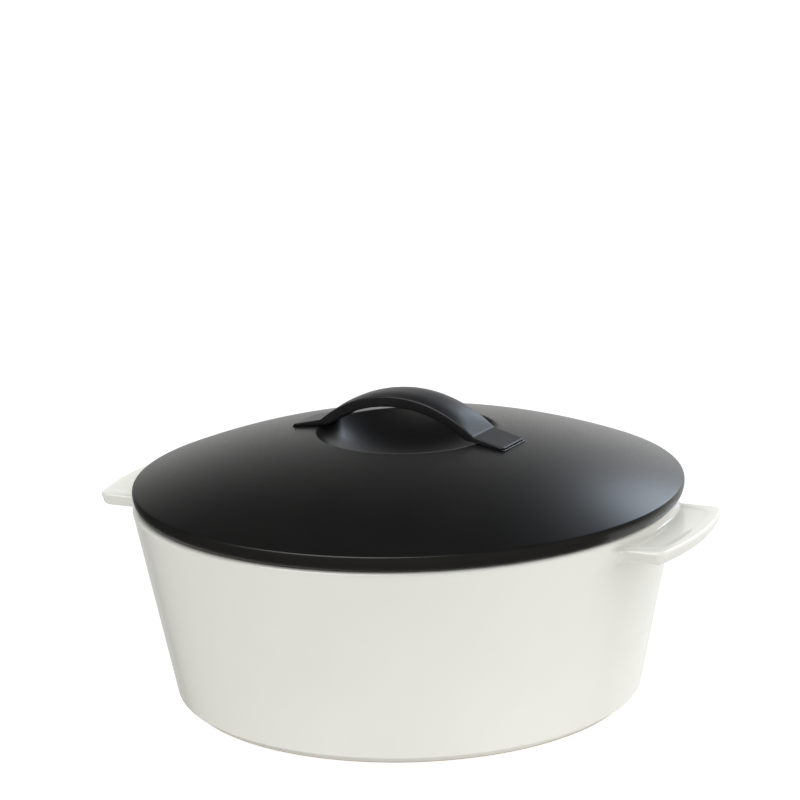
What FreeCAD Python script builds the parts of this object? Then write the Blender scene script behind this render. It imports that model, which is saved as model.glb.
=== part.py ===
import FreeCAD, Part

"""Round covered casserole: a ceramic pot with two cast side handles and a lift-off lid with a strap handle.

Frame: +Z up, origin at the centre of the foot's resting face, +X through the side handles. Millimetres.
"""

import math
import os

import Sketcher

# ---------------------------------------------------------------- driving dimensions
SIZES = {
    # pot: a straight cone of wall on a low foot ring
    "pot_height": 95.4,
    "base_radius": 110.7,
    "rim_radius": 129.1,
    "wall_thick": 6.8,
    "floor_thick": 7.0,
    "foot_height": 1.5,
    "foot_radius": 106.5,
    "foot_width": 6.0,
    "base_round": 3.0,
    "floor_round": 14.0,
    "lip_round": 2.6,
    "mouth_round": 1.6,
    # side handles: flat lugs with parallel sides and an end that is an arc about the pot's axis
    "grip_reach": 149.6,
    "grip_root": 124.6,
    "grip_width": 80.4,
    "grip_top": 91.4,
    "grip_thick": 6.2,
    "grip_corner": 3.0,
    "grip_edge": 1.0,
    "grip_under_edge": 3.4,
    "dish_depth": 0.5,
    "dish_border": 4.5,
    "dish_wall_gap": 2.0,
    # lid: a spherical dome with a rounded band, a locating skirt and a finger bowl in its middle
    "lid_radius": 130.0,
    "lid_band": 7.6,
    "band_foot_radius": 127.8,
    "band_curve": 7.4,
    "dome_curve": 343.0,
    "lid_thick": 6.4,
    "bowl_radius": 42.9,
    "bowl_depth": 15.0,
    "boss_margin": 4.5,
    "skirt_radius": 118.6,
    "skirt_thick": 6.0,
    "skirt_drop": 6.0,
    "crease_round": 0.8,
    "bowl_edge": 0.7,
    "skirt_round": 1.5,
    # how the lid lies on the pot
    "lid_turn": -4.0,
    "lid_shift": 1.9,
    # strap: an arch over the bowl that thins towards two flat tabs on the dome
    "strap_width": 21.4,
    "strap_top": 49.8,
    "arch_curve": 61.4,
    "arch_thick": 5.5,
    "fold_reach": 40.9,
    "heel_reach": 37.0,
    "tab_reach": 56.5,
    "tab_thick": 0.9,
    "tab_corner": 1.4,
    "strap_edge": 1.2,
    # bond beads that hold the tabs to the dome
    "bond_thick": 0.4,
    "bond_inset": 1.0,
}


class Dim:
    """A length that knows both its number and the sheet formula that gives it."""

    def __init__(self, value, formula):
        self.value = float(value)
        self.formula = formula

    @staticmethod
    def of(other):
        return other if isinstance(other, Dim) else Dim(other, repr(float(other)))

    def __add__(self, other):
        other = Dim.of(other)
        return Dim(self.value + other.value, f"({self.formula} + {other.formula})")

    def __sub__(self, other):
        other = Dim.of(other)
        return Dim(self.value - other.value, f"({self.formula} - {other.formula})")

    def __mul__(self, other):
        other = Dim.of(other)
        return Dim(self.value * other.value, f"({self.formula} * {other.formula})")

    def __truediv__(self, other):
        other = Dim.of(other)
        return Dim(self.value / other.value, f"({self.formula} / {other.formula})")

    def __neg__(self):
        return Dim(-self.value, f"(-1 * {self.formula})")


def root(dim):
    return Dim(math.sqrt(dim.value), f"sqrt({dim.formula})")


def leg(hypotenuse, side):
    """The other short side of a right triangle."""
    return root(hypotenuse * hypotenuse - side * side)


def curve_through(half_chord, rise):
    """Radius of the arc that rises by that much over half its chord."""
    return (half_chord * half_chord + rise * rise) / (rise * 2)


# ---------------------------------------------------------------- document and sheet
doc = FreeCAD.newDocument("casserole")
sheet = doc.addObject("Spreadsheet::Sheet", "dims")
for row, (alias, number) in enumerate(SIZES.items(), start=1):
    sheet.set(f"A{row}", alias)
    sheet.set(f"B{row}", str(number))
    sheet.setAlias(f"B{row}", alias)
doc.recompute()

D = {alias: Dim(number, f"dims.{alias}") for alias, number in SIZES.items()}
ZERO = Dim(0.0, "0")


# ---------------------------------------------------------------- modelling helpers
def bind(feature, **properties):
    """Sets each property from its Dim and ties it to the sheet."""
    for name, dim in properties.items():
        setattr(feature, name, dim.value)
        feature.setExpression(name, dim.formula)


def new_body(name):
    body = doc.addObject("PartDesign::Body", name)
    body.Label = name
    return body


def origin_item(body, role):
    return next(item for item in body.Origin.OriginFeatures if item.Role == role)


def arc_between(start, end, radius, turn):
    """Arc from start to end about a centre on the left (turn +1) or on the right (turn -1)."""
    chord = end - start
    middle = (start + end) * 0.5
    left = FreeCAD.Vector(-chord.y, chord.x, 0).normalize()
    away = math.sqrt(max(radius * radius - chord.Length * chord.Length / 4, 0.0))
    centre = middle + left * (away * turn)
    first, last = (start, end) if turn > 0 else (end, start)
    angles = [math.atan2(p.y - centre.y, p.x - centre.x) for p in (first, last)]
    circle = Part.Circle(centre, FreeCAD.Vector(0, 0, 1), radius)
    return Part.ArcOfCircle(circle, angles[0], angles[1])


def outline(body, name, role, corners, arcs=None, height=None):
    """A closed, fully dimensioned sketch on one of the body's origin planes.

    corners: (x, y) Dims in order. arcs: edge number -> (radius Dim, turn), for the edges that are arcs.
    height: how far the sketch is moved along its plane's normal.
    """
    arcs = arcs or {}
    sketch = body.newObject("Sketcher::SketchObject", name)
    sketch.AttachmentSupport = [(origin_item(body, role), "")]
    sketch.MapMode = "FlatFace"
    if height is not None:
        sketch.setExpression("AttachmentOffset.Base.z", height.formula)
    points = [FreeCAD.Vector(x.value, y.value, 0) for x, y in corners]
    count = len(points)
    ends = []
    for i in range(count):
        start, end = points[i], points[(i + 1) % count]
        if i in arcs:
            radius, turn = arcs[i]
            sketch.addGeometry(arc_between(start, end, radius.value, turn))
            ends.append((1, 2) if turn > 0 else (2, 1))
        else:
            sketch.addGeometry(Part.LineSegment(start, end))
            ends.append((1, 2))
    for i in range(count):
        after = (i + 1) % count
        sketch.addConstraint(Sketcher.Constraint("Coincident", i, ends[i][1], after, ends[after][0]))
    for i, (x, y) in enumerate(corners):
        for kind, dim, axis in (("DistanceX", x, -2), ("DistanceY", y, -1)):
            if dim is ZERO:
                sketch.addConstraint(Sketcher.Constraint("PointOnObject", i, ends[i][0], axis))
            else:
                index = sketch.addConstraint(Sketcher.Constraint(kind, i, ends[i][0], dim.value))
                sketch.setExpression(f"Constraints[{index}]", dim.formula)
    for i, (radius, turn) in arcs.items():
        index = sketch.addConstraint(Sketcher.Constraint("Radius", i, radius.value))
        sketch.setExpression(f"Constraints[{index}]", radius.formula)
    return sketch


def revolve(body, name, sketch):
    turned = body.newObject("PartDesign::Revolution", name)
    turned.Profile = sketch
    turned.ReferenceAxis = (sketch, ["V_Axis"])
    turned.Angle = 360
    return turned


def fillet(body, name, radius, wanted):
    """Rounds the edges of the body's tip that the test picks."""
    doc.recompute()
    base = body.Tip
    names = [f"Edge{n}" for n, edge in enumerate(base.Shape.Edges, start=1) if wanted(edge)]
    if not names:
        raise RuntimeError(f"{name}: no edge to round")
    rounded = body.newObject("PartDesign::Fillet", name)
    rounded.Base = (base, names)
    bind(rounded, Radius=radius)
    doc.recompute()
    return rounded


def circle_of(edge):
    """The circle that an edge lies on, or None; the pole of a dome is an edge with no curve."""
    if edge.Degenerated or not isinstance(edge.Curve, Part.Circle):
        return None
    return edge.Curve


def ring_edge(radius, height):
    """Test for a circular edge about the Z axis, of that radius at that height."""
    def wanted(edge):
        circle = circle_of(edge)
        return (circle is not None and edge.isClosed()
                and abs(circle.Radius - radius.value) < 0.02
                and abs(circle.Center.z - height.value) < 0.02)
    return wanted


def middle_of(edge):
    return edge.valueAt((edge.FirstParameter + edge.LastParameter) / 2)


# ---------------------------------------------------------------- pot
def make_pot():
    body = new_body("pot")
    rise = (D["rim_radius"] - D["base_radius"]) / (D["pot_height"] - D["foot_height"])
    floor = D["foot_height"] + D["floor_thick"]
    inner_base = D["base_radius"] - D["wall_thick"] + rise * D["floor_thick"]
    inner_rim = D["rim_radius"] - D["wall_thick"]
    profile = outline(body, "pot_profile", "XZ_Plane", [
        (ZERO, D["foot_height"]),
        (D["foot_radius"] - D["foot_width"], D["foot_height"]),
        (D["foot_radius"] - D["foot_width"], ZERO),
        (D["foot_radius"], ZERO),
        (D["foot_radius"], D["foot_height"]),
        (D["base_radius"], D["foot_height"]),
        (D["rim_radius"], D["pot_height"]),
        (inner_rim, D["pot_height"]),
        (inner_base, floor),
        (ZERO, floor),
    ])
    revolve(body, "pot_shell", profile)
    fillet(body, "base_rounding", D["base_round"], ring_edge(D["base_radius"], D["foot_height"]))
    fillet(body, "floor_rounding", D["floor_round"], ring_edge(inner_base, floor))
    fillet(body, "lip_rounding", D["lip_round"], ring_edge(D["rim_radius"], D["pot_height"]))
    fillet(body, "mouth_rounding", D["mouth_round"], ring_edge(inner_rim, D["pot_height"]))

    lug = add_lug(body)
    dish = add_dish(body)
    both = body.newObject("PartDesign::PolarPattern", "two_grips")
    both.Originals = [lug, dish]
    both.Axis = (origin_item(body, "Z_Axis"), [""])
    both.Angle = 360
    both.Occurrences = 2
    body.Tip = both
    round_grips(body)
    return body


def lug_outline(reach, base, half_width):
    """Corners and arcs of a lug in plan: two parallel sides between two arcs about the pot's axis."""
    corners = [
        (leg(base, half_width), -half_width),
        (leg(reach, half_width), -half_width),
        (leg(reach, half_width), half_width),
        (leg(base, half_width), half_width),
    ]
    return corners, {1: (reach, +1), 3: (base, -1)}


def add_lug(body):
    corners, arcs = lug_outline(D["grip_reach"], D["grip_root"], D["grip_width"] / 2)
    plan = outline(body, "grip_plan", "XY_Plane", corners, arcs, D["grip_top"])
    lug = body.newObject("PartDesign::Pad", "grip")
    lug.Profile = plan
    lug.Reversed = True
    bind(lug, Length=D["grip_thick"])
    doc.recompute()
    return lug


def add_dish(body):
    """The shallow dished top of a grip, inside a raised border."""
    corners, arcs = lug_outline(D["grip_reach"] - D["dish_border"], D["rim_radius"] + D["dish_wall_gap"],
                                D["grip_width"] / 2 - D["dish_border"])
    plan = outline(body, "dish_plan", "XY_Plane", corners, arcs, D["grip_top"])
    dish = body.newObject("PartDesign::Pocket", "grip_dish")
    dish.Profile = plan
    bind(dish, Length=D["dish_depth"])
    doc.recompute()
    return dish


def round_grips(body):
    half_width = SIZES["grip_width"] / 2
    top = SIZES["grip_top"]
    bottom = top - SIZES["grip_thick"]
    end_x = math.sqrt(SIZES["grip_reach"] ** 2 - half_width ** 2)

    def plan_corner(edge):
        place = middle_of(edge)
        return (abs(abs(place.x) - end_x) < 0.1 and abs(abs(place.y) - half_width) < 0.1
                and bottom < place.z < top)

    def end_edge_at(height):
        def wanted(edge):
            circle = circle_of(edge)
            return (circle is not None and abs(circle.Center.z - height) < 0.01
                    and abs(circle.Radius - SIZES["grip_reach"]) < 0.1)
        return wanted

    fillet(body, "grip_corner_rounding", D["grip_corner"], plan_corner)
    fillet(body, "grip_under_rounding", D["grip_under_edge"], end_edge_at(bottom))
    fillet(body, "grip_edge_rounding", D["grip_edge"], end_edge_at(top))


# ---------------------------------------------------------------- lid
SEAT = D["pot_height"]
CREASE = SEAT + D["lid_band"]
DOME_CENTRE = CREASE - leg(D["dome_curve"], D["lid_radius"])
BOWL_RIM = DOME_CENTRE + leg(D["dome_curve"], D["bowl_radius"])


def under_dome(radius):
    """Height of the dome's underside at that distance from the lid's axis."""
    return DOME_CENTRE + leg(D["dome_curve"] - D["lid_thick"], radius)


def rest_on_pot(body):
    """Slides the lid's pieces along X and turns them about Z to where the lid lies."""
    body.setExpression("Placement.Base.x", D["lid_shift"].formula)
    body.setExpression("Placement.Rotation.Angle", D["lid_turn"].formula)


def make_lid():
    body = new_body("lid")
    bowl_bottom = BOWL_RIM - D["bowl_depth"]
    bowl_curve = curve_through(D["bowl_radius"], D["bowl_depth"])
    boss_radius = D["bowl_radius"] + D["boss_margin"]
    boss_bottom = bowl_bottom - D["lid_thick"]
    boss_curve = curve_through(boss_radius, under_dome(boss_radius) - boss_bottom)
    skirt_inner = D["skirt_radius"] - D["skirt_thick"]
    skirt_foot = SEAT - D["skirt_drop"]
    profile = outline(body, "lid_profile", "XZ_Plane", [
        (ZERO, boss_bottom),
        (boss_radius, under_dome(boss_radius)),
        (skirt_inner, under_dome(skirt_inner)),
        (skirt_inner, skirt_foot),
        (D["skirt_radius"], skirt_foot),
        (D["skirt_radius"], SEAT),
        (D["band_foot_radius"], SEAT),
        (D["lid_radius"], CREASE),
        (D["bowl_radius"], BOWL_RIM),
        (ZERO, bowl_bottom),
    ], {
        0: (boss_curve, +1),
        1: (D["dome_curve"] - D["lid_thick"], -1),
        6: (D["band_curve"], +1),
        7: (D["dome_curve"], +1),
        8: (bowl_curve, -1),
    })
    revolve(body, "lid_shell", profile)
    fillet(body, "crease_rounding", D["crease_round"], ring_edge(D["lid_radius"], CREASE))
    fillet(body, "bowl_rounding", D["bowl_edge"], ring_edge(D["bowl_radius"], BOWL_RIM))
    fillet(body, "skirt_rounding", D["skirt_round"], ring_edge(D["skirt_radius"], skirt_foot))
    rest_on_pot(body)
    return body


# ---------------------------------------------------------------- strap handle and its bonds
def dome_height(reach):
    return DOME_CENTRE + leg(D["dome_curve"], reach)


ARCH_TOP = SEAT + D["strap_top"]
FOLD_TOP = ARCH_TOP - D["arch_curve"] + leg(D["arch_curve"], D["fold_reach"])
TAB_FOOT = dome_height(D["tab_reach"]) + D["bond_thick"]
HEEL_FOOT = dome_height(D["heel_reach"]) + D["bond_thick"]


def make_strap():
    body = new_body("lid_strap")
    arch_foot = ARCH_TOP - D["arch_thick"]
    half = outline(body, "strap_side_view", "XZ_Plane", [
        (ZERO, arch_foot),
        (D["heel_reach"], HEEL_FOOT),
        (D["tab_reach"], TAB_FOOT),
        (D["tab_reach"], TAB_FOOT + D["tab_thick"]),
        (D["fold_reach"], FOLD_TOP),
        (ZERO, ARCH_TOP),
    ], {
        0: (curve_through(D["heel_reach"], arch_foot - HEEL_FOOT), -1),
        4: (D["arch_curve"], +1),
    })
    pad = body.newObject("PartDesign::Pad", "half_strap")
    pad.Profile = half
    pad.Midplane = True
    bind(pad, Length=D["strap_width"])
    doc.recompute()
    whole = body.newObject("PartDesign::Mirrored", "whole_strap")
    whole.Originals = [pad]
    whole.MirrorPlane = (origin_item(body, "YZ_Plane"), [""])
    body.Tip = whole

    def tab_corner(edge):
        place = middle_of(edge)
        upright = abs(edge.tangentAt(edge.FirstParameter).z) > 0.99
        return upright and abs(abs(place.x) - SIZES["tab_reach"]) < 0.01

    def top_side(edge):
        place = middle_of(edge)
        along = abs(abs(place.y) - SIZES["strap_width"] / 2) < 0.01
        return along and circle_of(edge) is not None and place.z > FOLD_TOP.value

    fillet(body, "tab_corner_rounding", D["tab_corner"], tab_corner)
    fillet(body, "strap_edge_rounding", D["strap_edge"], top_side)
    rest_on_pot(body)
    return body


def make_bond(name, side):
    """The bead between one tab and the dome; side is +1 on the right and -1 on the left."""
    body = new_body(name)
    first = D["bowl_radius"] + D["bond_inset"]
    last = D["tab_reach"] - D["bond_inset"]
    slope = (HEEL_FOOT - TAB_FOOT) / (D["tab_reach"] - D["heel_reach"])

    def tab_underside(reach):
        return TAB_FOOT + slope * (D["tab_reach"] - reach)

    section = outline(body, f"{name}_section", "XZ_Plane", [
        (first, dome_height(first)),
        (last, dome_height(last)),
        (last, tab_underside(last)),
        (first, tab_underside(first)),
    ], {0: (D["dome_curve"], -1)})
    pad = body.newObject("PartDesign::Pad", f"{name}_pad")
    pad.Profile = section
    pad.Midplane = True
    bind(pad, Length=D["strap_width"] - D["bond_inset"] * 2)
    rest_on_pot(body)
    if side < 0:
        body.setExpression("Placement.Rotation.Angle", f"{D['lid_turn'].formula} + 180")
    return body


# ---------------------------------------------------------------- build, check and write
def check(bodies):
    doc.recompute()
    for item in doc.Objects:
        if "Invalid" in item.State or "Error" in item.State:
            raise RuntimeError(f"{item.Name}: {item.State}")
    for body in bodies:
        shape = body.Shape
        if shape.isNull() or not shape.isValid() or len(shape.Solids) != 1:
            raise RuntimeError(f"{body.Label}: not one valid solid")


def write(bodies):
    os.makedirs("parts", exist_ok=True)
    for body in bodies:
        body.Shape.exportStep(f"parts/{body.Label}.step")
        box = body.Shape.BoundBox
        print(f"{body.Label}: {box.XLength:.1f} x {box.YLength:.1f} x {box.ZLength:.1f} mm,"
              f" {body.Shape.Volume / 1000:.1f} cm3")


parts = [
    make_pot(),
    make_lid(),
    make_strap(),
    make_bond("bond_right", +1),
    make_bond("bond_left", -1),
]
check(parts)
write(parts)
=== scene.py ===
import math

import bmesh
import bpy
from mathutils import Matrix, Vector, noise


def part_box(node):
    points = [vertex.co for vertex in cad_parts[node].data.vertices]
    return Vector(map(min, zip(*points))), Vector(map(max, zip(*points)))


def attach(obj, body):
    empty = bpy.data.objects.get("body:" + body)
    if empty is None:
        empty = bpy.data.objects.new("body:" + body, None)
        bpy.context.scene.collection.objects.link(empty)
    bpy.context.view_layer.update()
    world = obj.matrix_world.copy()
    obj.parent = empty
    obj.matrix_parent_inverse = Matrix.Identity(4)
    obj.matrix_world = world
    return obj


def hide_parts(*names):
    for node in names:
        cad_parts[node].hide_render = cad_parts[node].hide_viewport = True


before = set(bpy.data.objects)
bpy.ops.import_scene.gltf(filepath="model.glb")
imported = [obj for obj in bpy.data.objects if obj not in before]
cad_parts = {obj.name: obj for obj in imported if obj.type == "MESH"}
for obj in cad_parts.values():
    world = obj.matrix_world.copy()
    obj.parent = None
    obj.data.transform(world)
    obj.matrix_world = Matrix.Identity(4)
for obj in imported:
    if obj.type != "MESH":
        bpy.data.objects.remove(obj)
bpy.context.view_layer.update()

# The row frame: metres, +Z up, origin at the centre of the foot, +X through the side handles.
# Names that end in _SOFT say how far a corner of a section is softened.
MM = 0.001
POT_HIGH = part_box("pot")[1]
LID_LOW, LID_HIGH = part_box("lid")
STRAP_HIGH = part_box("lid_strap")[1]

# ---------------------------------------------------------------- sizes of the pot
RIM_HEIGHT = POT_HIGH.z
RIM_RADIUS = 129.1 * MM
BASE_RADIUS = 110.7 * MM
WALL = 6.8 * MM
FLOOR = 7.0 * MM
FOOT_HEIGHT = 1.5 * MM
FOOT_OUTER = 106.5 * MM
FOOT_INNER = 100.5 * MM
BEVEL_FOOT = 0.5 * MM
BEVEL_TOP = 3.9 * MM
LIP_DROP = 2.6 * MM
LIP_REACH = 3.4 * MM
FOOT_SOFT = 0.5 * MM
FOOT_EDGE_SOFT = 0.2 * MM
BEVEL_SOFT = 0.6 * MM
LIP_INNER_SOFT = 1.4 * MM
BASIN_SOFT = 11 * MM
WALL_SLOPE = (RIM_RADIUS - BASE_RADIUS) / (RIM_HEIGHT - FOOT_HEIGHT)
POLE = 0.01 * MM

GRIP_REACH = POT_HIGH.x
GRIP_HALF_WIDTH = 40.2 * MM
GRIP_TOP = RIM_HEIGHT - 4.0 * MM
GRIP_THICK = 6.2 * MM
GRIP_CORNER = 4.2 * MM
GRIP_TOP_ROUND = 1.3 * MM
GRIP_LEAN = 0.7 * MM
GRIP_UNDER_ROUND = 3.0 * MM
GRIP_SPLIT = -6
DISH_BORDER = 4.5 * MM
DISH_RAMP = 3.0 * MM
DISH_DEPTH = 0.4 * MM
DISH_BLEND = 9 * MM
FILLET_TOP = 1.35 * MM
FILLET_TOP_SPREAD = 0.8
FILLET_SIDE = 6.4 * MM
FILLET_UNDER = 4.0 * MM
FILLET_TURN = 8

# ---------------------------------------------------------------- sizes of the lid
LID_CENTRE_X = (LID_LOW.x + LID_HIGH.x) / 2
LID_TURN = math.radians(-4)
LID_RADIUS = 130 * MM
SEAT = RIM_HEIGHT
CREASE = SEAT + 7.6 * MM
BAND_FOOT = LID_RADIUS - 2.2 * MM
BAND_GAP = 0.5 * MM
SEAT_RING = LID_RADIUS - 3.6 * MM
DOME_CURVE = 343 * MM
DOME_CENTRE = CREASE - math.sqrt(DOME_CURVE ** 2 - LID_RADIUS ** 2)
LID_THICK = 6.4 * MM
BOWL_RADIUS = 42.9 * MM
BOWL_DEPTH = 15 * MM
BOSS_RADIUS = 47.4 * MM
SKIRT_OUTER = 118.6 * MM
SKIRT_INNER = 112.6 * MM
SKIRT_FOOT = LID_LOW.z
BAND_BULGE = 1.0 * MM
BOWL_SOFT = 0.9 * MM
CREASE_SOFT = 0.5 * MM
BAND_FOOT_SOFT = 0.45 * MM
SEAT_SOFT = 0.6 * MM
SKIRT_SOFT = 1.3 * MM
UNDER_SOFT = 2 * MM

# ---------------------------------------------------------------- sizes of the strap and its bonds
STRAP_HALF_WIDTH = 10.7 * MM
STRAP_CROWN = 1.05 * MM
STRAP_ROUND = 0.9 * MM
TAB_ROUND = 0.4 * MM
ARCH_THICK = 6.2 * MM
ARCH_FOOT = STRAP_HIGH.z - ARCH_THICK
EDGE_TOP = STRAP_HIGH.z - STRAP_CROWN
EDGE_CURVE = 62.7 * MM
FOLD_REACH = 40.9 * MM
HEEL_REACH = 36.8 * MM
TAB_REACH = 56.5 * MM
TAB_THICK = 0.9 * MM
TAB_CORNER = 1.4 * MM
CROWN_POWER = 2.6
FOOT_ROUND = 0.3 * MM
FOLD_SOFT = 1.0 * MM
ARCH_FADE = 12 * MM
END_RUN = 0.5 * MM
END_INSET = 0.2 * MM
BOND_THICK = 0.4 * MM


# ---------------------------------------------------------------- outlines
def line(start, end, count=1):
    start, end = Vector(start), Vector(end)
    return [start.lerp(end, i / count) for i in range(count + 1)]


def circle_arc(centre, radius, first, last, count):
    """Points on a circle between two angles in radians."""
    angles = [first + (last - first) * i / count for i in range(count + 1)]
    return [Vector((centre[0] + radius * math.cos(a), centre[1] + radius * math.sin(a)))
            for a in angles]


def bulge(start, end, rise, count):
    """An arc from start to end that stands out by rise on the left of the way."""
    start, end = Vector(start), Vector(end)
    half = (end - start).length / 2
    radius = (half * half + rise * rise) / (2 * abs(rise))
    side = math.copysign(1, rise)
    along = (end - start).normalized()
    left = Vector((-along.y, along.x)) * side
    centre = (start + end) / 2 - left * (radius - abs(rise))
    sweep = math.asin(min(1, half / radius))
    points = []
    for i in range(count + 1):
        angle = sweep * (2 * i / count - 1)
        points.append(centre + along * (radius * math.sin(angle))
                      + left * (radius * math.cos(angle)))
    return points


def soft_corner(before, corner, after, reach, count=6):
    """A small curve in place of the corner between two runs."""
    start = corner + (before - corner).normalized() * reach
    end = corner + (after - corner).normalized() * reach
    curve = []
    for i in range(count + 1):
        t = i / count
        curve.append(start * (1 - t) ** 2 + corner * (2 * t * (1 - t)) + end * t * t)
    return curve


def join_runs(*parts):
    """One line through runs of points.

    The number between two runs is how far their corner is softened.
    """
    points = list(parts[0])
    for reach, run in zip(parts[1::2], parts[2::2]):
        corner = points[-1]
        if reach > 0:
            clear = reach * 1.2
            kept = [p for p in points if (p - corner).length > clear]
            rest = [p for p in run if (p - corner).length > clear]
            points = kept + soft_corner(kept[-1], corner, rest[0], reach) + rest
        else:
            points += run[1:]
    return points


# ---------------------------------------------------------------- mesh helpers
def turned_rows(bm, profile, angles):
    """Rows of vertices of a profile turned about Z; a row on the axis is one vertex."""
    rows = []
    for radius, height in profile:
        if radius < POLE:
            rows.append([bm.verts.new((0, 0, height))] * len(angles))
        else:
            rows.append([bm.verts.new((radius * math.cos(a), radius * math.sin(a), height))
                         for a in angles])
    return rows


def skin_rows(bm, rows, skip=()):
    """Faces between neighbouring rows of vertices; every row closes on itself."""
    for i in range(len(rows) - 1):
        count = len(rows[i])
        for k in range(count):
            if (i, k) in skip:
                continue
            n = (k + 1) % count
            corners = dict.fromkeys((rows[i][k], rows[i][n], rows[i + 1][n], rows[i + 1][k]))
            bm.faces.new(list(corners))


def finish_piece(name, bm, material, body, nodes, place=None):
    """Makes a piece that rides on its CAD body and stands for CAD nodes."""
    loose = [v for v in bm.verts if not v.link_faces]
    bmesh.ops.delete(bm, geom=loose, context="VERTS")
    bmesh.ops.recalc_face_normals(bm, faces=bm.faces)
    if place is not None:
        bmesh.ops.transform(bm, matrix=place, verts=bm.verts)
    mesh = bpy.data.meshes.new(name)
    bm.to_mesh(mesh)
    bm.free()
    mesh.shade_smooth()
    piece = bpy.data.objects.new(name, mesh)
    bpy.context.scene.collection.objects.link(piece)
    mesh.materials.append(material)
    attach(piece, body)
    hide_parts(*nodes)


# ---------------------------------------------------------------- pot
def wall_radius(height):
    return BASE_RADIUS + WALL_SLOPE * (height - FOOT_HEIGHT)


def grip_edge():
    """The section of a grip's rim: (inset, height, outward, upward) per row.

    The rows go from the underside to the top. The two rounds meet at GRIP_SPLIT degrees.
    """
    rows = []
    bottom = GRIP_TOP - GRIP_THICK
    under_steps, top_steps = 5, 4
    for i in range(under_steps + 1):
        angle = math.radians(-90 + (GRIP_SPLIT + 90) * i / under_steps)
        inset = GRIP_LEAN + GRIP_UNDER_ROUND * (1 - math.cos(angle))
        height = bottom + GRIP_UNDER_ROUND * (1 + math.sin(angle))
        rows.append((inset, height, math.cos(angle), math.sin(angle)))
    for i in range(top_steps + 1):
        angle = math.radians(GRIP_SPLIT + (90 - GRIP_SPLIT) * i / top_steps)
        inset = GRIP_TOP_ROUND * (1 - math.cos(angle))
        height = GRIP_TOP - GRIP_TOP_ROUND * (1 - math.sin(angle))
        rows.append((inset, height, math.cos(angle), math.sin(angle)))
    return rows


def fillet_size(outward, upward):
    """Radius of the fillet between wall and grip on the side that faces this way."""
    vertical = FILLET_TOP if upward > 0 else FILLET_UNDER
    return vertical + (FILLET_SIDE - vertical) * outward ** FILLET_TURN


def spread(count):
    """Numbers from -1 to 1, closer together towards the ends."""
    wide = math.radians(65)
    return [math.sin(wide * (2 * i / count - 1)) / math.sin(wide) for i in range(count + 1)]


def smooth_step(x):
    x = min(1, max(0, x))
    return x * x * (3 - 2 * x)


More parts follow.
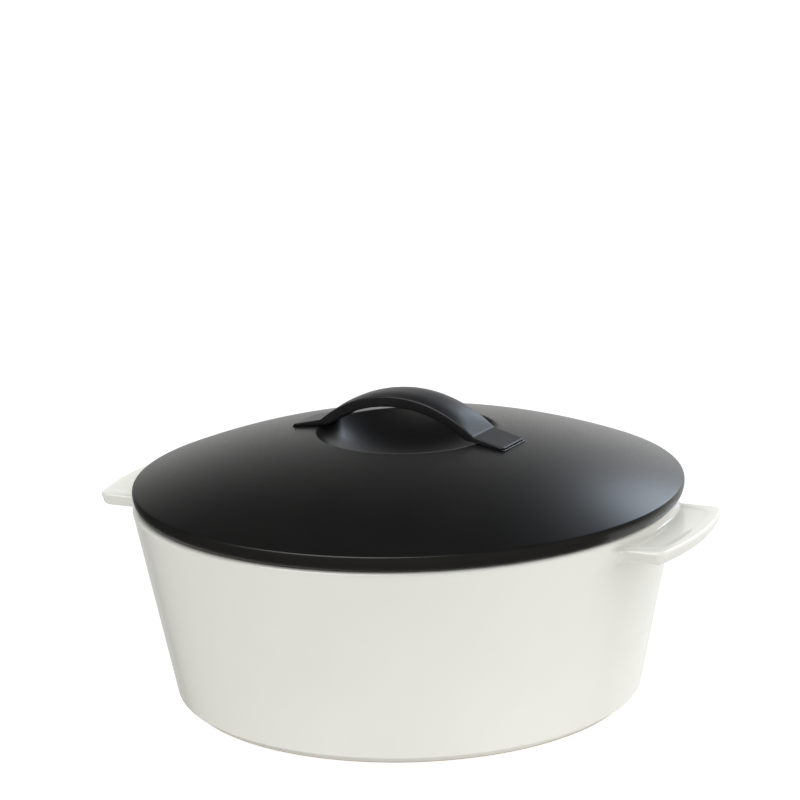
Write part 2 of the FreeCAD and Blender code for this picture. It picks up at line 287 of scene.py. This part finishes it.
class Grip:
    """One side handle: a block of (across, along, edge row) points that grows out of the wall."""

    ACROSS = 64
    ALONG = 22
    FILLET_ROWS = 6

    def __init__(self):
        self.edge = grip_edge()
        self.rows = len(self.edge)
        self.across = spread(self.ACROSS)
        self.along = [0.5 + s / 2 for s in spread(self.ALONG)]

    def wall_heights(self):
        """Heights on the wall where the fillet of each edge row ends, from the lowest."""
        return [z + up * fillet_size(out, up) for inset, z, out, up in self.edge]

    def root_point(self, i, step, row):
        """A point of the fillet: step 0 is on the wall and FILLET_ROWS is on the grip."""
        inset, z, out, up = self.edge[row]
        inner = 0 < i < self.ACROSS
        if inner:
            out, up = 0, math.copysign(1, up)
        size = fillet_size(out, up)
        angle = math.pi / 2 * step / self.FILLET_ROWS
        away = size * (1 - math.sin(angle))
        side = self.across[i] * (GRIP_HALF_WIDTH - inset)
        y = side + math.copysign(out * away, side)
        height = z + up * away
        widen = 1 + FILLET_TOP_SPREAD * max(0, up) ** 2
        x = math.sqrt(wall_radius(height) ** 2 - y * y) + size * widen * (1 - math.cos(angle))
        return Vector((x, y, height))

    def body_point(self, i, t, row):
        """A point of the grip itself, t of the way from the fillet to the outer end."""
        inset, z, out, up = self.edge[row]
        start = self.root_point(i, self.FILLET_ROWS, row)
        y = start.y
        reach = GRIP_REACH - inset
        x = start.x + (math.sqrt(reach ** 2 - y * y) - start.x) * t
        return self.rounded_corner(Vector((x, y, z)))

    def rounded_corner(self, point):
        """Pulls the plan's outer corners in to an arc."""
        reach = math.hypot(point.x, point.y)
        over_side = abs(point.y) - (GRIP_HALF_WIDTH - GRIP_CORNER)
        over_end = reach - (GRIP_REACH - GRIP_CORNER)
        if over_side <= 0 or over_end <= 0:
            return point
        pull = max(over_side, over_end) / math.hypot(over_side, over_end)
        y = math.copysign(GRIP_HALF_WIDTH - GRIP_CORNER + over_side * pull, point.y)
        reach = GRIP_REACH - GRIP_CORNER + over_end * pull
        return Vector((math.sqrt(reach ** 2 - y * y), y, point.z))

    def dished(self, point, share):
        """Lowers the middle of the top, by that share, to a shallow dish in a soft border."""
        from_side = GRIP_HALF_WIDTH - abs(point.y)
        from_end = GRIP_REACH - math.hypot(point.x, point.y)
        nearest = min(from_side, from_end)
        both = max(0, DISH_BLEND - abs(from_side - from_end)) / DISH_BLEND
        nearest -= both * both * DISH_BLEND / 4
        point.z -= share * DISH_DEPTH * smooth_step((nearest - DISH_BORDER) / DISH_RAMP)
        return point

    def point(self, i, j, row):
        """j counts outwards: fillet rows first, then the grip's own."""
        if j <= self.FILLET_ROWS:
            found = self.root_point(i, j, row)
        else:
            found = self.body_point(i, self.along[j - self.FILLET_ROWS], row)
        if row == self.rows - 1:
            return self.dished(found, min(1, j / self.FILLET_ROWS))
        return found

    def build(self, bm, wall_rows, turn):
        """Makes the grip's faces; wall_rows holds the wall's vertices that the grip starts from."""
        last = self.FILLET_ROWS + self.ALONG
        top = self.rows - 1
        made = {}

        def vertex(i, j, row):
            key = (i, j, row)
            if key not in made:
                place = turn @ self.point(i, j, row)
                if j == 0:
                    made[key] = wall_rows[row][i]
                    made[key].co = place
                else:
                    made[key] = bm.verts.new(place)
            return made[key]

        for j in range(last):
            for row in (0, top):
                for i in range(self.ACROSS):
                    bm.faces.new([vertex(i, j, row), vertex(i + 1, j, row),
                                  vertex(i + 1, j + 1, row), vertex(i, j + 1, row)])
            for i in (0, self.ACROSS):
                for row in range(top):
                    bm.faces.new([vertex(i, j, row), vertex(i, j + 1, row),
                                  vertex(i, j + 1, row + 1), vertex(i, j, row + 1)])
        for i in range(self.ACROSS):
            for row in range(top):
                bm.faces.new([vertex(i, last, row), vertex(i + 1, last, row),
                              vertex(i + 1, last, row + 1), vertex(i, last, row + 1)])


def pot_profile(opening):
    """The pot's section from under the floor, up the outside and down the inside.

    opening lists the wall heights of the grips' rows. Also gives the index of the first of them.
    """
    def on_wall(height):
        return Vector((wall_radius(height), height))

    floor_top = FOOT_HEIGHT + FLOOR
    inner_base = (BASE_RADIUS - WALL + WALL_SLOPE * FLOOR, floor_top)
    under = join_runs(
        line((0, FOOT_HEIGHT), (FOOT_INNER, FOOT_HEIGHT), 8), FOOT_SOFT,
        line((FOOT_INNER, FOOT_HEIGHT), (FOOT_INNER, 0)), FOOT_SOFT,
        line((FOOT_INNER, 0), (FOOT_OUTER, 0), 3), FOOT_EDGE_SOFT,
        line((FOOT_OUTER, 0), (FOOT_OUTER, BEVEL_FOOT)), FOOT_EDGE_SOFT,
        line((FOOT_OUTER, BEVEL_FOOT), on_wall(BEVEL_TOP), 4), BEVEL_SOFT,
        line(on_wall(BEVEL_TOP), on_wall(opening[0]), 24),
    )
    lip = rounded_lip()
    inner_lip = (RIM_RADIUS - WALL, RIM_HEIGHT)
    over = join_runs(
        [on_wall(opening[-1])] + lip + line(lip[-1], inner_lip, 4)[1:], LIP_INNER_SOFT,
        line(inner_lip, inner_base, 26), BASIN_SOFT,
        line(inner_base, (0, floor_top), 14),
    )
    wall = [on_wall(height) for height in opening[1:-1]]
    return under + wall + over, len(under) - 1


def rounded_lip():
    """The outer edge of the rim, from the wall over to the flat top."""
    corner = Vector((RIM_RADIUS, RIM_HEIGHT))
    start = Vector((wall_radius(RIM_HEIGHT - LIP_DROP), RIM_HEIGHT - LIP_DROP))
    end = Vector((RIM_RADIUS - LIP_REACH, RIM_HEIGHT))
    steps = [i / 10 for i in range(11)]
    return [start * (1 - t) ** 2 + corner * (2 * t * (1 - t)) + end * t * t for t in steps]


def pot_angles(grip):
    """Columns of the pot: the grips' own, and even ones between them."""
    beside = math.radians(22.5)
    between = 88
    lug = [math.asin(s * GRIP_HALF_WIDTH / RIM_RADIUS) for s in grip.across]
    gap = math.pi - 2 * beside
    free = [beside + gap * i / between for i in range(between + 1)]
    return lug + free + [a + math.pi for a in lug] + [a + math.pi for a in free]


def make_pot(material):
    grip = Grip()
    profile, first_row = pot_profile(grip.wall_heights())
    angles = pot_angles(grip)
    starts = (0, len(angles) // 2)
    bm = bmesh.new()
    rows = turned_rows(bm, profile, angles)
    holes = {(first_row + row, start + i)
             for row in range(grip.rows - 1) for start in starts for i in range(grip.ACROSS)}
    skin_rows(bm, rows, skip=holes)
    for start, turn in zip(starts, (0, math.pi)):
        wall_rows = [rows[first_row + row][start:start + grip.ACROSS + 1]
                     for row in range(grip.rows)]
        grip.build(bm, wall_rows, Matrix.Rotation(turn, 3, "Z"))
    finish_piece("pot_glazed", bm, material, "pot", ["pot"])


# ---------------------------------------------------------------- lid
def dome_height(reach, curve=DOME_CURVE):
    """Height of the dome at a radius, or of its underside with that one's curve."""
    return DOME_CENTRE + math.sqrt(curve ** 2 - reach ** 2)


def dome_run(start, end, curve, count):
    """Points on the dome, or on its underside, from one radius to another."""
    radii = [start + (end - start) * i / count for i in range(count + 1)]
    return [Vector((r, dome_height(r, curve))) for r in radii]


def lid_profile():
    """The lid's section from the bottom of the bowl, out over the dome and back below it."""
    bowl_rim = Vector((BOWL_RADIUS, dome_height(BOWL_RADIUS)))
    bowl_bottom = Vector((0, bowl_rim.y - BOWL_DEPTH))
    bowl = half_of(bulge((-BOWL_RADIUS, bowl_rim.y), bowl_rim, -BOWL_DEPTH, 48))
    crease = Vector((LID_RADIUS, CREASE))
    band_foot = Vector((BAND_FOOT, SEAT + BAND_GAP))
    inner_curve = DOME_CURVE - LID_THICK
    skirt_top = dome_height(SKIRT_INNER, inner_curve)
    boss_edge = Vector((BOSS_RADIUS, dome_height(BOSS_RADIUS, inner_curve)))
    boss_drop = boss_edge.y - (bowl_bottom.y - LID_THICK)
    boss = half_of(bulge((-BOSS_RADIUS, boss_edge.y), boss_edge, -boss_drop, 48))
    return join_runs(
        bowl, BOWL_SOFT,
        dome_run(BOWL_RADIUS, LID_RADIUS, DOME_CURVE, 44), CREASE_SOFT,
        bulge(crease, band_foot, BAND_BULGE, 14), BAND_FOOT_SOFT,
        line(band_foot, (SEAT_RING, SEAT + BAND_GAP)), 0,
        line((SEAT_RING, SEAT + BAND_GAP), (SEAT_RING, SEAT)), 0,
        line((SEAT_RING, SEAT), (SKIRT_OUTER, SEAT), 4), SEAT_SOFT,
        line((SKIRT_OUTER, SEAT), (SKIRT_OUTER, SKIRT_FOOT), 4), SKIRT_SOFT,
        line((SKIRT_OUTER, SKIRT_FOOT), (SKIRT_INNER, SKIRT_FOOT), 4), SKIRT_SOFT,
        line((SKIRT_INNER, SKIRT_FOOT), (SKIRT_INNER, skirt_top), 6), UNDER_SOFT,
        dome_run(SKIRT_INNER, BOSS_RADIUS, inner_curve, 24), UNDER_SOFT,
        boss[::-1],
    )


def half_of(points):
    """The half of a symmetrical run that lies on the positive side, from the axis outwards."""
    return points[len(points) // 2:]


def lid_place():
    """Where the lid's own frame lies on the pot."""
    return Matrix.Translation((LID_CENTRE_X, 0, 0)) @ Matrix.Rotation(LID_TURN, 4, "Z")


def make_lid(material):
    columns = 288
    bm = bmesh.new()
    rows = turned_rows(bm, lid_profile(), [2 * math.pi * i / columns for i in range(columns)])
    skin_rows(bm, rows)
    finish_piece("lid_dome", bm, material, "lid", ["lid"], lid_place())


# ---------------------------------------------------------------- strap handle
FOLD_TOP = EDGE_TOP - EDGE_CURVE + math.sqrt(EDGE_CURVE ** 2 - FOLD_REACH ** 2)
TAB_FOOT = dome_height(TAB_REACH) + BOND_THICK
HEEL_FOOT = dome_height(HEEL_REACH) + BOND_THICK
FOOT_SLOPE = (HEEL_FOOT - TAB_FOOT) / (TAB_REACH - HEEL_REACH)
TAB_SLOPE = (FOLD_TOP - TAB_FOOT - TAB_THICK) / (TAB_REACH - FOLD_REACH)


def under_strap(x):
    """Height of the strap's underside: an arc over the bowl, then a flat foot on each tab."""
    if x > HEEL_REACH:
        return TAB_FOOT + FOOT_SLOPE * (TAB_REACH - x)
    rise = ARCH_FOOT - HEEL_FOOT
    curve = (HEEL_REACH ** 2 + rise ** 2) / (2 * rise)
    return ARCH_FOOT - curve + math.sqrt(curve ** 2 - x * x)


def strap_stations():
    """Half of the strap, from its middle out: (reach, edge height, half width) per section."""
    fold_angle = math.acos(FOLD_REACH / EDGE_CURVE)
    arch = circle_arc((0, EDGE_TOP - EDGE_CURVE), EDGE_CURVE, math.pi / 2, fold_angle, 30)
    tab = line((FOLD_REACH, FOLD_TOP), (TAB_REACH, TAB_FOOT + TAB_THICK), 16)
    stations = [(p.x, p.y, STRAP_HALF_WIDTH) for p in join_runs(arch, FOLD_SOFT, tab)
                if p.x < TAB_REACH - TAB_CORNER]
    corner_steps = 7
    for i in range(corner_steps + 1):
        angle = math.pi / 2 * i / corner_steps
        left = TAB_CORNER * (1 - math.sin(angle))
        stations.append((TAB_REACH - left, TAB_FOOT + TAB_THICK + TAB_SLOPE * left,
                         STRAP_HALF_WIDTH - TAB_CORNER * (1 - math.cos(angle))))
    return stations


def strap_section(x, top, foot, half_width, edge, crown):
    """One closed section across the strap, with rounded edges and a crowned top."""
    turns = [math.radians(15 * k) for k in range(7)]
    columns = 16
    foot_edge = min(edge, FOOT_ROUND)
    right_top = [(half_width - edge + edge * math.sin(a),
                  top - edge + edge * math.cos(a)) for a in turns]
    right_foot = [(half_width - foot_edge + foot_edge * math.cos(a),
                   foot + foot_edge - foot_edge * math.sin(a)) for a in turns]
    right = right_top + right_foot
    left = [(-y, z) for y, z in reversed(right)]
    spots = [-1 + 2 * i / columns for i in range(1, columns)]
    across_top = [(t * (half_width - edge), top + crown * (1 - abs(t) ** CROWN_POWER))
                  for t in spots]
    across_foot = [(-t * (half_width - foot_edge), foot) for t in spots]
    return [Vector((x, y, z)) for y, z in across_top + right + across_foot + left]


def make_strap(material):
    bm = bmesh.new()
    rings = []
    half = strap_stations()
    for mirror, stations in ((-1, half[:0:-1]), (1, half)):
        for x, top, half_width in stations:
            arched = smooth_step((FOLD_REACH - x) / ARCH_FADE)
            inset = END_INSET * smooth_step((x - TAB_REACH + END_RUN) / END_RUN)
            edge = TAB_ROUND + (STRAP_ROUND - TAB_ROUND) * arched - inset
            points = strap_section(mirror * x, top - inset, under_strap(x) + inset,
                                   half_width - inset, edge, STRAP_CROWN * arched)
            rings.append([bm.verts.new(p) for p in points])
    skin_rows(bm, rings)
    for ring in (rings[0], rings[-1]):
        bm.faces.new(ring)
    finish_piece("lid_strap_formed", bm, material, "lid", ["lid_strap"],
                 lid_place())


def make_bond(name, node, side, material, seed):
    """The uneven bead of adhesive between a tab and the dome; it swells out past the tab."""
    first, last = BOWL_RADIUS + 1.0 * MM, TAB_REACH + 0.75 * MM
    half_width = STRAP_HALF_WIDTH - 0.5 * MM
    end_round, sink, lump, swell, overlap = 0.55 * MM, 0.15 * MM, 1.7 * MM, 0.35 * MM, 0.05 * MM
    flattest, end_taper = 0.03, 0.07
    stations, around = 64, 9
    bm = bmesh.new()
    rings = []
    for i in range(stations + 1):
        x = first + (last - first) * (1 - (1 - i / stations) ** 2)
        squeeze = math.sqrt(max(flattest, 1 - max(0, 1 - (last - x) / end_round) ** 2))
        squeeze *= math.sqrt(max(flattest, 1 - max(0, 1 - (x - first) / end_round) ** 2))
        low = dome_height(x) - sink
        high = TAB_FOOT + FOOT_SLOPE * (TAB_REACH - x) + overlap
        middle, tall = (low + high) / 2, (high - low) / 2
        ring = []
        for way in (1, -1):
            wobble = noise.noise(Vector((x / lump, seed + 9 * way, 0))) * swell
            reach = (half_width + wobble) * (1 - end_taper + end_taper * squeeze)
            for k in range(around + 1):
                angle = math.pi / 2 - math.pi * k / around
                y = way * (reach - tall + tall * math.cos(angle))
                ring.append(Vector((x, y, middle + way * tall * squeeze * math.sin(angle))))
        rings.append([bm.verts.new(p) for p in ring])
    skin_rows(bm, rings)
    for ring in (rings[0], rings[-1]):
        bm.faces.new(ring)
    turn = Matrix.Rotation(0 if side > 0 else math.pi, 4, "Z")
    finish_piece(name, bm, material, "lid", [node], lid_place() @ turn)


# ---------------------------------------------------------------- material helpers
def new_material(name, **sockets):
    """A principled material with numbers set on its own sockets, with its tree and shader."""
    material = bpy.data.materials.new(name)
    material.use_nodes = True
    tree = material.node_tree
    shader = tree.nodes["Principled BSDF"]
    for socket, value in sockets.items():
        shader.inputs[socket.replace("_", " ")].default_value = value
    return material, tree, shader


def place_node(tree):
    return tree.nodes.new("ShaderNodeTexCoord").outputs["Object"]


def grain(tree, place, size, detail=3.0):
    """Noise whose grains are about that size in metres."""
    node = tree.nodes.new("ShaderNodeTexNoise")
    node.inputs["Scale"].default_value = 1 / size
    node.inputs["Detail"].default_value = detail
    node.inputs["Roughness"].default_value = 0.5
    tree.links.new(place, node.inputs["Vector"])
    return node.outputs["Fac"]


def ramp(tree, source, low, high, start, end):
    """Maps a number from start..end to low..high."""
    node = tree.nodes.new("ShaderNodeMapRange")
    for socket, value in (("From Min", start), ("From Max", end),
                          ("To Min", low), ("To Max", high)):
        node.inputs[socket].default_value = value
    tree.links.new(source, node.inputs["Value"])
    return node.outputs["Result"]


def colour_mix(tree, factor, first, second):
    """From first to second as the factor goes from 0 to 1; each is a colour or a socket."""
    node = tree.nodes.new("ShaderNodeMix")
    node.data_type = "RGBA"
    tree.links.new(factor, node.inputs["Factor"])
    for socket, colour in ((6, first), (7, second)):
        if isinstance(colour, tuple):
            node.inputs[socket].default_value = (*colour, 1)
        else:
            tree.links.new(colour, node.inputs[socket])
    return node.outputs[2]


def mottled(tree, place, size, first, second):
    """Two tints in soft clouds of about that size in metres."""
    clouds = ramp(tree, grain(tree, place, size, detail=4), 0, 1, 0.35, 0.65)
    return colour_mix(tree, clouds, first, second)


def roughened(tree, shader, source, low, high):
    """Roughness from low to high that follows a noise."""
    tree.links.new(ramp(tree, source, low, high, 0.3, 0.7), shader.inputs["Roughness"])


def bumped(tree, shader, source, depth):
    """Fine relief of that depth in metres."""
    node = tree.nodes.new("ShaderNodeBump")
    node.inputs["Distance"].default_value = depth
    node.inputs["Strength"].default_value = 1.0
    tree.links.new(source, node.inputs["Height"])
    tree.links.new(node.outputs["Normal"], shader.inputs["Normal"])


def height_of(tree, place):
    node = tree.nodes.new("ShaderNodeSeparateXYZ")
    tree.links.new(place, node.inputs["Vector"])
    return node.outputs["Z"]


# ---------------------------------------------------------------- materials
def white_glaze():
    """Warm white satin glaze with faint clouding; the foot below the glaze line is bare clay."""
    material, tree, shader = new_material("white_glaze", IOR=1.65)
    place = place_node(tree)
    clay = (0.50, 0.44, 0.36)
    tint = mottled(tree, place, 60 * MM, (0.700, 0.695, 0.640), (0.715, 0.711, 0.656))
    below = ramp(tree, height_of(tree, place), 1, 0, BEVEL_FOOT * 0.7, BEVEL_FOOT * 1.2)
    tint = colour_mix(tree, below, tint, clay)
    tree.links.new(tint, shader.inputs["Base Color"])
    roughened(tree, shader, grain(tree, place, 14 * MM), 0.09, 0.13)
    bumped(tree, shader, grain(tree, place, 6 * MM), 0.02 * MM)
    return material


def black_glaze():
    """Near-black matt glaze with a fine dry texture."""
    material, tree, shader = new_material("black_glaze", IOR=1.5)
    place = place_node(tree)
    tint = mottled(tree, place, 30 * MM, (0.0035, 0.0034, 0.0034), (0.0050, 0.0048, 0.0046))
    tree.links.new(tint, shader.inputs["Base Color"])
    roughened(tree, shader, grain(tree, place, 1.0 * MM), 0.29, 0.35)
    bumped(tree, shader, grain(tree, place, 0.8 * MM, detail=2), 0.008 * MM)
    return material


def strap_coating():
    """Charcoal satin coating with a very fine grain."""
    material, tree, shader = new_material("strap_coating", IOR=1.45)
    place = place_node(tree)
    tint = mottled(tree, place, 8 * MM, (0.006, 0.006, 0.007), (0.009, 0.009, 0.011))
    tree.links.new(tint, shader.inputs["Base Color"])
    roughened(tree, shader, grain(tree, place, 0.8 * MM), 0.34, 0.42)
    bumped(tree, shader, grain(tree, place, 0.25 * MM), 0.012 * MM)
    return material


def bond_bead():
    """Glossy black adhesive."""
    material, tree, shader = new_material("bond_bead", IOR=1.5)
    place = place_node(tree)
    clouds = grain(tree, place, 2 * MM)
    tint = colour_mix(tree, clouds, (0.008, 0.008, 0.009), (0.014, 0.014, 0.016))
    tree.links.new(tint, shader.inputs["Base Color"])
    roughened(tree, shader, clouds, 0.08, 0.22)
    bumped(tree, shader, grain(tree, place, 1.1 * MM), 0.25 * MM)
    return material


def floor_paint():
    """Pale floor that glows of itself, strongest around the object: painted light that washes out
    the object's shadow on the floor.
    """
    near_glow, far_glow, near, far = 0.55, 0.10, 0.11, 0.24
    material, tree, shader = new_material("floor_paint", Roughness=0.9, Specular_IOR_Level=0.0,
                                          Emission_Color=(1, 1, 1, 1))
    place = place_node(tree)
    away = tree.nodes.new("ShaderNodeVectorMath")
    away.operation = "LENGTH"
    tree.links.new(place, away.inputs[0])
    # painted light: the glow is strongest next to the object, where its shadow falls, and fades
    # further out
    glow = ramp(tree, away.outputs["Value"], near_glow, far_glow, near, far)
    tree.links.new(glow, shader.inputs["Emission Strength"])
    tint = colour_mix(tree, grain(tree, place, 0.5), (0.73, 0.73, 0.73), (0.74, 0.74, 0.74))
    tree.links.new(tint, shader.inputs["Base Color"])
    return material


# ---------------------------------------------------------------- stage
def make_floor():
    """A wide flat floor that reflections do not show."""
    half = 8.0
    corners = [(-half, -half, 0), (half, -half, 0), (half, half, 0), (-half, half, 0)]
    mesh = bpy.data.meshes.new("floor")
    mesh.from_pydata(corners, [], [(0, 1, 2, 3)])
    floor = bpy.data.objects.new("floor", mesh)
    bpy.context.scene.collection.objects.link(floor)
    mesh.materials.append(floor_paint())
    floor.visible_glossy = False


def soft_light(name, azimuth, elevation, distance, size, power, colour):
    """An area light that looks at the object's middle."""
    data = bpy.data.lights.new(name, "AREA")
    data.shape = "RECTANGLE"
    data.size, data.size_y = size
    data.energy = power
    data.color = colour
    light = bpy.data.objects.new(name, data)
    bpy.context.scene.collection.objects.link(light)
    away = direction(azimuth, elevation)
    middle = Vector((0, 0, 0.08))
    light.location = middle + away * distance
    light.rotation_euler = away.to_track_quat("Z", "Y").to_euler()


def direction(azimuth, elevation):
    """The way out from the object: azimuth 0 is towards -Y and 90 towards +X, in degrees."""
    a, e = math.radians(azimuth), math.radians(elevation)
    return Vector((math.sin(a) * math.cos(e), -math.cos(a) * math.cos(e), math.sin(e)))


def towards(tree, place, azimuth, elevation=0):
    """How far a direction points to that side, from -1 to 1."""
    node = tree.nodes.new("ShaderNodeVectorMath")
    node.operation = "DOT_PRODUCT"
    tree.links.new(place, node.inputs[0])
    node.inputs[1].default_value = direction(azimuth, elevation)
    return node.outputs["Value"]


def product(tree, first, second):
    """One number from two, multiplied."""
    node = tree.nodes.new("ShaderNodeMath")
    node.operation = "MULTIPLY"
    tree.links.new(first, node.inputs[0])
    tree.links.new(second, node.inputs[1])
    return node.outputs["Value"]


def reflected_studio(tree, place, height):
    """What reflections see: grey low down, a glow at the back, a soft box in front, dark above."""
    dim, grey, dark = (0.03, 0.03, 0.03), (0.27, 0.26, 0.24), (0.0, 0.0, 0.0)
    back_glow, soft_box = (1.20, 1.20, 1.18), (4.0, 4.0, 3.9)
    low_round = colour_mix(tree, ramp(tree, towards(tree, place, 30), 0, 1, -0.9, 0.8), dim, grey)
    glow = product(tree, ramp(tree, towards(tree, place, 186), 0, 1, 0.60, 1.0),
                   ramp(tree, height, 0.85, 1, -0.10, 0.12))
    low_back = colour_mix(tree, glow, low_round, back_glow)
    studio = colour_mix(tree, ramp(tree, height, 1, 0, 0.05, 0.80), dark, low_back)
    front = ramp(tree, towards(tree, place, -15, 52), 0, 1, 0.80, 0.97)
    return colour_mix(tree, front, studio, soft_box)


def studio_fill(tree, place, height):
    """The light that falls on surfaces: both sides bright, dim between, brightest above right."""
    between, left, right = (0.16, 0.16, 0.16), (1.30, 1.30, 1.32), (1.50, 1.50, 1.56)
    above_left, above_right = (0.80, 0.80, 0.80), (2.65, 2.65, 2.68)
    side = towards(tree, place, 105)
    around = colour_mix(tree, ramp(tree, side, 1, 0, -1, -0.1), between, left)
    around = colour_mix(tree, ramp(tree, side, 0, 1, 0.50, 1), around, right)
    above = colour_mix(tree, ramp(tree, side, 0, 1, -1, 1), above_left, above_right)
    return colour_mix(tree, height, around, above)


def make_world():
    """White to the camera, a studio to reflections and a soft fill to everything else."""
    world = bpy.data.worlds.new("studio")
    world.use_nodes = True
    bpy.context.scene.world = world
    tree = world.node_tree
    back = tree.nodes["Background"]
    path = tree.nodes.new("ShaderNodeLightPath")
    place = tree.nodes.new("ShaderNodeTexCoord").outputs["Generated"]
    height = height_of(tree, place)
    fill = studio_fill(tree, place, height)
    reflected = reflected_studio(tree, place, height)
    seen = colour_mix(tree, path.outputs["Is Glossy Ray"], fill, reflected)
    seen = colour_mix(tree, path.outputs["Is Camera Ray"], seen, (1.0, 1.0, 1.0))
    tree.links.new(seen, back.inputs["Color"])


def make_lights():
    soft_light("window", azimuth=172, elevation=29, distance=1.8, size=(0.52, 0.50), power=4.3,
               colour=(0.74, 0.86, 1.0))


def make_camera():
    """The studio camera; its numbers put the object in the frame as photographed."""
    azimuth, elevation, roll = 25.71, 13.99, math.radians(1.58)
    target = Vector((-0.96 * MM, -0.46 * MM, 140.06 * MM))
    distance = 1.3574
    data = bpy.data.cameras.new("studio_camera")
    data.lens = 130
    data.sensor_width = 36
    data.clip_start, data.clip_end = 0.05, 60
    camera = bpy.data.objects.new("studio_camera", data)
    bpy.context.scene.collection.objects.link(camera)
    back = direction(azimuth, elevation)
    level = Vector((0, 0, 1)).cross(back).normalized()
    up = back.cross(level)
    across = level * math.cos(roll) - up * math.sin(roll)
    upward = level * math.sin(roll) + up * math.cos(roll)
    turned = Matrix((across, upward, back)).transposed().to_4x4()
    camera.matrix_world = Matrix.Translation(target + back * distance) @ turned
    bpy.context.scene.camera = camera


# ---------------------------------------------------------------- build
make_pot(white_glaze())
make_lid(black_glaze())
make_strap(strap_coating())
bead = bond_bead()
make_bond("bond_bead_right", "bond_right", +1, bead, seed=3)
make_bond("bond_bead_left", "bond_left", -1, bead, seed=5)
make_floor()
make_world()
make_lights()
make_camera()
bpy.context.scene.view_settings.view_transform = "Standard"
